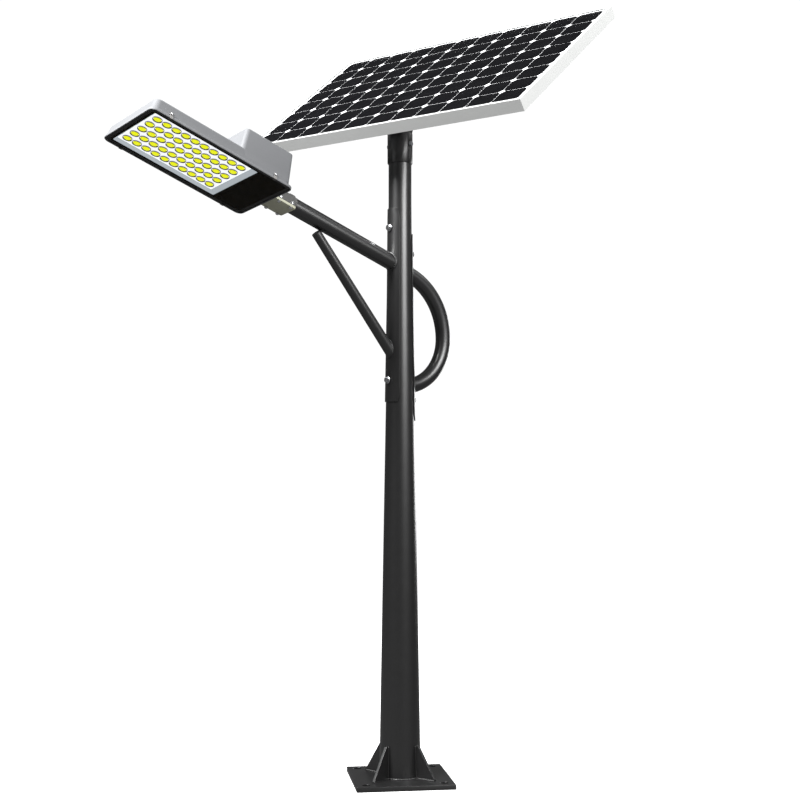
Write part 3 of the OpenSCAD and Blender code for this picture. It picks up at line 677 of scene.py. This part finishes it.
def make_saddle_bolts(name, azimuth, heights, node):
    mesh = bmesh.new()
    direction = azimuth_vector(azimuth)
    for k, z in enumerate(heights):
        seat = direction * (pole_radius(z) + SADDLE_OUT + 0.0004) + UP * z
        hex_head(mesh, at(seat, direction, 0.3 + k), 0.019, 0.0085, 0.0028, 0.0135)
    bolts = finish_piece(name, mesh, Matrix(), "bright_steel", "pole", [node])
    add_bevel(bolts, 0.0003)


def make_arm():
    mesh = bmesh.new()
    start = coped_ring(ARM_ORIGIN, ARM_AXIS, ARM_R, 96)
    rings = [start]
    for s in (0.14, 0.30, 0.46, ARM_END - 0.002, ARM_END):
        r = ARM_R if s < ARM_END else ARM_R - 0.0015
        rings.append(tube_ring(ARM_ORIGIN + ARM_AXIS * s, ARM_AXIS, r, 96))
    join_rings(mesh, rings, cap_end=True)
    finish_piece("arm_pipe", mesh, Matrix(), "pole_paint", "pole", ["arm_tube"])
    weld_bead("arm_weld", start, 0.0034)


def make_strut():
    origin = Vector((0, 0, STRUT_Z))
    axis = ARM_PLANE @ Vector((math.cos(STRUT_RISE), 0, math.sin(STRUT_RISE)))
    start = coped_ring(origin, axis, STRUT_R[0] - 0.0004, 72)

    def ring(s, r):
        return tube_ring(origin + axis * s, axis, r, 72)

    mesh = bmesh.new()
    wall = 0.003
    end = STRUT_LEN
    rings = [start, ring(0.3, (STRUT_R[0] + STRUT_R[1]) / 2), ring(end - 0.001, STRUT_R[1]),
             ring(end, STRUT_R[1] - 0.0008), ring(end, STRUT_R[1] - wall + 0.0006),
             ring(end - 0.0015, STRUT_R[1] - wall)]
    join_rings(mesh, rings, cap_end=True)
    finish_piece("strut_pipe", mesh, Matrix(), "pole_paint", "pole", ["arm_strut", "strut_cap"])
    weld_bead("strut_weld", start, 0.003)


def make_loop():
    """Bent tube behind the pole: two arcs that meet at its furthest point."""
    back = Matrix.Rotation(ARM_AZIMUTH + math.pi, 4, "Z")
    tail = Matrix.Translation((0, 0, LOOP_Z))

    def bend(radius, angles):
        centre = LOOP_REACH - radius
        return [back @ tail @ Vector((centre + radius * math.cos(a), 0, radius * math.sin(a)))
                for a in angles]

    path = bend(LOOP_UP, [math.radians(70 - 70 * i / 48) for i in range(48)])
    path += bend(LOOP_LOW, [math.radians(-83 * i / 48) for i in range(49)])
    mesh = bmesh.new()
    sweep(mesh, path, LOOP_R, sides=56)
    finish_piece("loop_pipe", mesh, Matrix(), "pole_paint", "pole", ["loop_tube"])
    for name, spot, inward in (("loop_weld_top", path[6], path[6] - path[2]),
                               ("loop_weld_foot", path[-8], path[-8] - path[-3])):
        axis = inward.normalized()
        centre = spot - axis * 0.12
        points = coped_ring(centre, axis, LOOP_R, 90)
        weld_bead(name, points, 0.0032)


# ---------------------------------------------------------------- CAD nodes kept

def dress_cad(node, material, bevel=0.0):
    """Gives a kept CAD node its material, welded seams and soft edges."""
    piece = frame["nodes"][node]
    piece.data.materials.clear()
    piece.data.materials.append(mats[material])
    weld = piece.modifiers.new("weld", "WELD")
    weld.merge_threshold = 0.00001
    if bevel:
        add_bevel(piece, bevel)


KEPT = {
    "glass_gasket": ("black_rubber", 0), "led_driver": ("driver_case", 0.001),
    "battery_pack": ("battery_wrap", 0.002), "battery_strap": ("plain_steel", 0.0003),
    "cable_grommet": ("black_rubber", 0.0008), "rivet_nuts": ("plain_steel", 0),
    "top_collar": ("pole_paint", 0.001), "collar_bolts": ("plain_steel", 0.0005),
    "pivot_ears": ("pole_paint", 0.001), "pivot_bolt": ("bright_steel", 0.0005),
    "pivot_nut": ("bright_steel", 0.0005), "lock_bolts": ("bright_steel", 0.0005),
    "tilt_arms": ("bracket_paint", 0.0008), "lower_rail": ("rail_metal", 0.0005),
    "upper_rail": ("rail_metal", 0.0005), "arm_rail_bolts": ("bright_steel", 0.0005),
    "frame_rail_bolts": ("bright_steel", 0.0005), "frame_corner_keys": ("rail_metal", 0.0003),
    "frame_lower_bar": ("frame_aluminium", 0.0004), "frame_upper_bar": ("frame_aluminium", 0.0004),
    "frame_left_bar": ("frame_aluminium", 0.0004), "frame_right_bar": ("frame_aluminium", 0.0004),
    "panel_glass": ("panel_glass", 0), "solar_cells": ("solar_cell", 0),
    "back_sheet": ("back_sheet", 0), "junction_box": ("black_plastic", 0.001),
    "junction_lid": ("black_plastic", 0.0015), "junction_glands": ("black_plastic", 0.0005),
}


# ---------------------------------------------------------------- lamp head

def make_housing():
    """Die-cast shell: rim, drafted tray and the equipment box over its near end."""
    rim_top = GLASS_Z + 0.009
    half = LAMP_W / 2

    def rim(inset, z, radius):
        return rounded(LAMP_START + inset, LAMP_FAR - inset, half - inset, z, radius, arc=8)

    def tray(rise, near, far, side, radius):
        z = rim_top + (TRAY_TOP - rim_top) * rise
        return rounded(TRAY_NEAR + near, LAMP_FAR - far, half - side, z, radius, arc=8)

    mesh = bmesh.new()
    join_rings(mesh, [
        rim(0.0040, GLASS_Z + 0.006, 0.020), rim(0.0040, GLASS_Z + 0.0006, 0.020),
        rim(0.0033, GLASS_Z, 0.0207), rim(0.0010, GLASS_Z, 0.0230),
        rim(0.0, GLASS_Z + 0.0010, 0.024), rim(0.0, rim_top - 0.0015, 0.024),
        rim(0.0008, rim_top - 0.0003, 0.0232), rim(0.0022, rim_top, 0.0222),
        tray(0.02, -0.0035, 0.0038, 0.0038, 0.022), tray(0.08, 0.0, 0.0052, 0.0049, 0.022),
        tray(0.85, 0.0036, 0.0094, 0.0054, 0.021), tray(0.95, 0.0046, 0.0104, 0.0062, 0.020),
        tray(0.993, 0.0066, 0.0124, 0.0080, 0.018), tray(1.0, 0.0100, 0.0158, 0.0110, 0.015),
    ], cap_end=True)
    side = half - 0.0050

    def lid(z, near, far, inset, radius):
        return rounded(TRAY_NEAR + near, BOX_FAR - far, side - inset, z, radius, arc=8)

    join_rings(mesh, [
        lid(BOARD_Z + 0.0035, 0.0009, 0.0, 0.0, 0.018), lid(TRAY_TOP, 0.0048, 0.0, 0.0004, 0.016),
        lid(BOX_TOP - 0.0050, 0.0148, 0.0006, 0.0008, 0.014),
        lid(BOX_TOP - 0.0018, 0.0158, 0.0014, 0.0016, 0.013),
        lid(BOX_TOP - 0.0004, 0.0174, 0.0030, 0.0032, 0.012),
        lid(BOX_TOP, 0.0200, 0.0056, 0.0058, 0.010),
    ], cap_start=True, cap_end=True)
    for k in range(9):
        y = -0.116 + 0.029 * k
        box(mesh, (BOX_FAR + 0.020, y - 0.0022, TRAY_TOP - 0.002),
            (LAMP_FAR - 0.045, y + 0.0022, TRAY_TOP + 0.005))
    finish_piece("cast_shell", mesh, LAMP_FRAME, "cast_housing", "lamp_head",
                 ["lamp_housing"], sharp=40)


def make_lens():
    """Toughened pane with a black border printed on its inner face."""
    inset = 0.0043
    start, far, half = LAMP_START + inset, LAMP_FAR - inset, LAMP_W / 2 - inset
    low, top = GLASS_Z + 0.0001, GLASS_Z + 0.0001 + GLASS_T

    def edge(back, z):
        return rounded(start + back, far - back, half - back, z, 0.0198 - back, arc=8)

    mesh = bmesh.new()
    join_rings(mesh, [edge(0.0006, top), edge(0.0, top - 0.0006), edge(0.0, low + 0.0006),
                      edge(0.0006, low)], cap_start=True, cap_end=True)
    finish_piece("lens_pane", mesh, LAMP_FRAME, "lamp_glass", "lamp_head", ["lens_glass"])
    x0, x1, y = WINDOW
    low, top = top + 0.0001, top + 0.0004
    mesh = bmesh.new()
    join_rings(mesh, [edge(0.0008, low), rounded(x0, x1, y, low, 0.004, arc=8),
                      rounded(x0, x1, y, top, 0.004, arc=8), edge(0.0008, top), edge(0.0008, low)])
    bmesh.ops.remove_doubles(mesh, verts=mesh.verts, dist=1e-7)
    finish_piece("lens_print", mesh, LAMP_FRAME, "black_plastic", "lamp_head", material="print")


def led_places():
    for i in range(LED_COLS):
        for j in range(LED_ROWS):
            yield LED_FIRST + i * LED_PITCH[0], (j - (LED_ROWS - 1) / 2) * LED_PITCH[1]


def make_reflector():
    """Bright pan: bevelled sides from the window's edge up to the field of cups."""
    x0, x1, y = WINDOW
    z = GLASS_Z + 0.0042
    mesh = bmesh.new()
    join_rings(mesh, [
        rounded(x0 - 0.0020, x1 + 0.0004, y + 0.0010, z + 0.0006, 0.005, arc=6),
        rounded(x0 + 0.0010, x1 - 0.0010, y - 0.0010, z, 0.004, arc=6),
        rounded(x0 + 0.0030, x1 - 0.0020, y - 0.0020, z + 0.0004, 0.004, arc=6),
        rounded(x0 + 0.0190, x1 - 0.0090, y - 0.0130, BOARD_Z - 0.0012, 0.003, arc=6),
        rounded(x0 + 0.0200, x1 - 0.0095, y - 0.0140, BOARD_Z - 0.0008, 0.003, arc=6),
        rounded(x0 + 0.0200, x1 - 0.0095, y - 0.0140, BOARD_Z, 0.003, arc=6),
    ])
    finish_piece("reflector_pan", mesh, LAMP_FRAME, "reflector", "lamp_head",
                 ["reflector_tray"], "pan")
    mesh = bmesh.new()
    box(mesh, (x0 + 0.001, -y + 0.001, BOARD_Z + 0.0001), (x1 - 0.001, y - 0.001, BOARD_Z + 0.0019))
    board = finish_piece("white_led_board", mesh, LAMP_FRAME, "led_board", "lamp_head",
                         ["led_board"])
    add_bevel(board, 0.0003)


def make_leds():
    cups, domes = bmesh.new(), bmesh.new()
    for x, y in led_places():
        z = BOARD_Z
        lathe(cups, [(0.0140, z), (0.0148, z - 0.0020), (0.0160, z - 0.0036), (0.0165, z - 0.0040),
                     (0.0169, z - 0.0036), (0.0170, z - 0.0025), (0.0170, z)], 40, x=x, y=y)
        profile = [(0.0130, z), (0.0130, z - 0.0010)]
        profile += [(0.0127 * math.cos(a), z - 0.0010 - 0.0050 * math.sin(a))
                    for a in [math.radians(90 * k / 7) for k in range(7)]]
        lathe(domes, profile, 36, x=x, y=y, cap_end=True)
    # Cup rings take the darkened cup material: a painted dark reflection on the silver reflector
    finish_piece("led_cup_rings", cups, LAMP_FRAME, "reflector", "lamp_head",
                 ["led_cups"], "cup", sharp=70)
    finish_piece("led_domes", domes, LAMP_FRAME, "led_phosphor", "lamp_head",
                 ["led_emitters"], sharp=60)


def make_clips():
    """Bent strips over the rim, each with its screw."""
    clips, screws = bmesh.new(), bmesh.new()
    half = LAMP_W / 2
    for x in CLIP_X:
        for side in (-1, 1):
            lo = GLASS_Z - 0.0014
            section = [(half - 0.0090, lo), (half + 0.0004, lo), (half + 0.0016, lo + 0.0012),
                       (half + 0.0016, lo + 0.0120), (half - 0.0030, lo + 0.0165),
                       (half - 0.0030, lo + 0.0240), (half - 0.0042, lo + 0.0240),
                       (half - 0.0042, lo + 0.0160), (half + 0.0004, lo + 0.0114),
                       (half + 0.0004, lo + 0.0012), (half - 0.0090, lo + 0.0012)]
            rings = [[Vector((x + dx, side * a, b)) for a, b in section] for dx in (-0.006, 0.006)]
            join_rings(clips, rings, cap_start=True, cap_end=True)
            spot = Vector((x, side * (half - 0.0028), lo + 0.0205))
            face = at(spot, Vector((0, side, 0)))
            rings = [circle(0.0036, 24, z=0), circle(0.0036, 24, z=0.0012),
                     circle(0.0028, 24, z=0.0021), circle(0.0012, 24, z=0.0023)]
            join_rings(screws, [[face @ p for p in r] for r in rings], cap_start=True, cap_end=True)
    piece = finish_piece("rim_clips", clips, LAMP_FRAME, "clip_steel", "lamp_head", ["glass_clips"])
    add_bevel(piece, 0.0003)
    finish_piece("rim_screws", screws, LAMP_FRAME, "bright_steel", "lamp_head", ["clip_screws"])


def make_clamp():
    """Socket cast with the housing, open below, and the plate that closes it."""
    inner, r, half = ARM_R + 0.0003, ARM_R + 0.005, CLAMP_HALF

    def saddle(x, out, wide, shoulder):
        points = [(inner, CLAMP_SPLIT), (wide - 0.001, CLAMP_SPLIT), (wide, CLAMP_SPLIT + 0.001),
                  (wide, shoulder - 0.003), (wide - 0.001, shoulder - 0.0008),
                  (wide - 0.004, shoulder)]
        low = math.asin((shoulder + 0.0015) / out)
        points += [(out * math.cos(low) + 0.0012, shoulder + 0.0003)]
        top = [(out * math.cos(a), out * math.sin(a))
               for a in [low + (math.pi - 2 * low) * k / 20 for k in range(21)]]
        bore = [(inner * math.cos(a), inner * math.sin(a))
                for a in [math.pi * k / 24 for k in range(25)]]
        ring = points + top + [(-y, z) for y, z in reversed(points)] + list(reversed(bore))
        return [Vector((x, y, z)) for y, z in ring]

    near = CLAMP_NEAR
    stations = [(0.0, r - 0.0022, half - 0.004, 0.008), (0.0012, r - 0.0006, half - 0.0022, 0.0092),
                (0.0030, r, half - 0.0012, 0.010), (0.0180, r, half - 0.0012, 0.010),
                (0.0215, r - 0.0022, half, 0.0088), (0.075, r - 0.0022, half, 0.0088),
                (0.095, r - 0.0008, half, 0.0100), (0.1088, r, half, 0.010)]
    mesh = bmesh.new()
    join_rings(mesh, [saddle(near + x, *rest) for x, *rest in stations],
               cap_start=True, cap_end=True)
    finish_piece("socket_casting", mesh, LAMP_FRAME, "clamp_cast", "lamp_head", ["clamp_upper"])

    def plate(x, wide):
        z0, z1 = CLAMP_LOW, CLAMP_SPLIT - 0.0003
        edge = math.sqrt(inner ** 2 - z1 ** 2)
        groove = [(inner * math.sin(a), -inner * math.cos(a))
                  for a in [math.asin(edge / inner) * (1 - k / 8) for k in range(17)]]
        ring = [(-wide + 0.002, z0), (wide - 0.002, z0), (wide - 0.0006, z0 + 0.0006),
                (wide, z0 + 0.002), (wide, z1)] + groove
        ring += [(-wide, z1), (-wide, z0 + 0.002), (-wide + 0.0006, z0 + 0.0006)]
        return [Vector((x, y, z)) for y, z in ring]

    mesh = bmesh.new()
    join_rings(mesh, [plate(near, half - 0.004), plate(near + 0.0015, half - 0.0022),
                      plate(near + 0.004, half - 0.0012), plate(near + 0.020, half),
                      plate(LAMP_START - 0.004, half)], cap_start=True, cap_end=True)
    # The plate's material carries a painted reflection: its olive-grey tone
    finish_piece("socket_plate", mesh, LAMP_FRAME, "clamp_cast", "lamp_head",
                 ["clamp_lower"], "clamp_lower")
    heads, nuts = bmesh.new(), bmesh.new()
    for x in CLAMP_BOLT_X:
        for y in (-CLAMP_BOLT_Y, CLAMP_BOLT_Y):
            hex_head(heads, at(Vector((x, y, CLAMP_LOW)), Vector((0, 0, -1))),
                     0.0115, 0.0040, 0.0010, 0.0064)
            out = math.copysign(0.0069, y)
            hex_head(nuts, at(Vector((x, y + out, -0.0175)), Vector((0, math.copysign(1, y), 0))),
                     0.0095, 0.0014, 0.0006, 0.0062)
    finish_piece("socket_bolts", heads, LAMP_FRAME, "bright_steel", "lamp_head", ["clamp_bolts"])
    finish_piece("socket_nuts", nuts, LAMP_FRAME, "bright_steel", "lamp_head", ["clamp_nuts"])


# ---------------------------------------------------------------- stage

CAMERA_YAW = math.radians(-7.9)
CAMERA_DISTANCE = 5.4126
CAMERA_HEIGHT = 1.205
CAMERA_PITCH = math.radians(2.143)
CAMERA_LENS = 65.25
BACKDROP = 1.05
ROOM_LIGHT = 0.12
FLOOR_SEEN = 0.95
FLOOR_GLOW = 0.05
FLOOR_BOUNCE = 0.07


def make_stage():
    """Pale floor, a wide disc just under the base plate."""
    mesh = bmesh.new()
    rings = [circle(radius, 64, z=-0.0002) for radius in (0.5, 2, 6, 20, 90)]
    join_rings(mesh, rings, cap_start=True)
    bmesh.ops.recalc_face_normals(mesh, faces=mesh.faces)
    data = bpy.data.meshes.new("floor")
    mesh.to_mesh(data)
    mesh.free()
    s = Shader("pale_floor")
    path = s.add("ShaderNodeLightPath")
    seen = path.outputs["Is Camera Ray"]
    pale = s.mix(s.span(s.noise(1.5, 3), 0, 1), (0.72, 0.72, 0.72), (0.74, 0.74, 0.74))
    s.colour(s.mix(seen, (FLOOR_BOUNCE, FLOOR_BOUNCE, FLOOR_BOUNCE), pale))
    s.rough(s.span(s.noise(8, 3), 0.75, 0.9))
    s.bump(s.noise(200, 2), 0.0005, 0.05)
    s.specular(0.1)
    s.bsdf.inputs["Emission Color"].default_value = (1, 1, 1, 1)
    s.link(s.span(seen, FLOOR_GLOW, FLOOR_SEEN), s.bsdf.inputs["Emission Strength"])
    data.materials.append(s.material)
    floor = bpy.data.objects.new("floor", data)
    bpy.context.scene.collection.objects.link(floor)


def add_light(name, spot, target, size, power):
    light = bpy.data.lights.new(name, "AREA")
    light.shape = "RECTANGLE"
    light.size, light.size_y = size
    light.energy = power
    lamp = bpy.data.objects.new(name, light)
    lamp.location = spot
    lamp.rotation_mode = "QUATERNION"
    lamp.rotation_quaternion = (Vector(target) - Vector(spot)).to_track_quat("-Z", "Y")
    bpy.context.scene.collection.objects.link(lamp)


def in_view(x, y, z):
    """Point given as right of, beyond and above the base, seen from the camera."""
    return Matrix.Rotation(CAMERA_YAW, 4, "Z") @ Vector((x, y, z))


def make_camera():
    data = bpy.data.cameras.new("camera")
    data.lens = CAMERA_LENS
    data.sensor_width = 36
    data.clip_end = 200
    camera = bpy.data.objects.new("camera", data)
    camera.location = in_view(0, -CAMERA_DISTANCE, CAMERA_HEIGHT)
    camera.rotation_euler = (math.radians(90) + CAMERA_PITCH, 0, CAMERA_YAW)
    bpy.context.scene.collection.objects.link(camera)
    bpy.context.scene.camera = camera


def make_world():
    """White backdrop for the eye, a dimmer even room for the light on the object."""
    world = bpy.data.worlds.new("studio")
    world.use_nodes = True
    tree = world.node_tree
    background = tree.nodes["Background"]
    background.inputs["Color"].default_value = (1, 1, 1, 1)
    path = tree.nodes.new("ShaderNodeLightPath")
    level = tree.nodes.new("ShaderNodeMapRange")
    level.inputs["To Min"].default_value = ROOM_LIGHT
    level.inputs["To Max"].default_value = BACKDROP
    tree.links.new(path.outputs["Is Camera Ray"], level.inputs["Value"])
    tree.links.new(level.outputs["Result"], background.inputs["Strength"])
    bpy.context.scene.world = world
    bpy.context.scene.view_settings.view_transform = "Standard"


def make_lights():
    """Soft key high on the left, broad strip on the front right, small kicker and fill behind."""
    head = in_view(-0.75, -0.45, 2.2)
    add_light("left_key", in_view(-2.85, -1.93, 5.26), head, (2.0, 2.0), 700)
    add_light("right_strip", in_view(3.0, -3.2, 3.3), in_view(0, 0, 2.1), (2.8, 1.7), 215)
    add_light("back_kicker", in_view(3.4, 1.4, 4.4), in_view(0, 0, 1.9), (1.4, 1.4), 16)
    add_light("back_fill", in_view(2.6, 4.2, 1.6), in_view(0, 0, 1.5), (2.2, 1.8), 80)


make_camera()
make_world()
make_lights()
make_stage()
make_plate()
make_base()
make_shaft()
make_saddle("arm_half_shell", ARM_AZIMUTH, *ARM_SADDLE, "arm_saddle")
make_saddle("loop_half_shell", ARM_AZIMUTH + math.pi, *LOOP_SADDLE, "loop_saddle")
make_saddle_bolts("arm_shell_bolts", ARM_AZIMUTH, ARM_BOLTS, "arm_saddle_bolts")
make_saddle_bolts("loop_shell_bolts", ARM_AZIMUTH + math.pi, LOOP_BOLTS, "loop_saddle_bolts")
make_arm()
make_strut()
make_loop()
make_housing()
make_lens()
make_reflector()
make_leds()
make_clips()
make_clamp()
for node, (material, bevel) in KEPT.items():
    dress_cad(node, material, bevel)
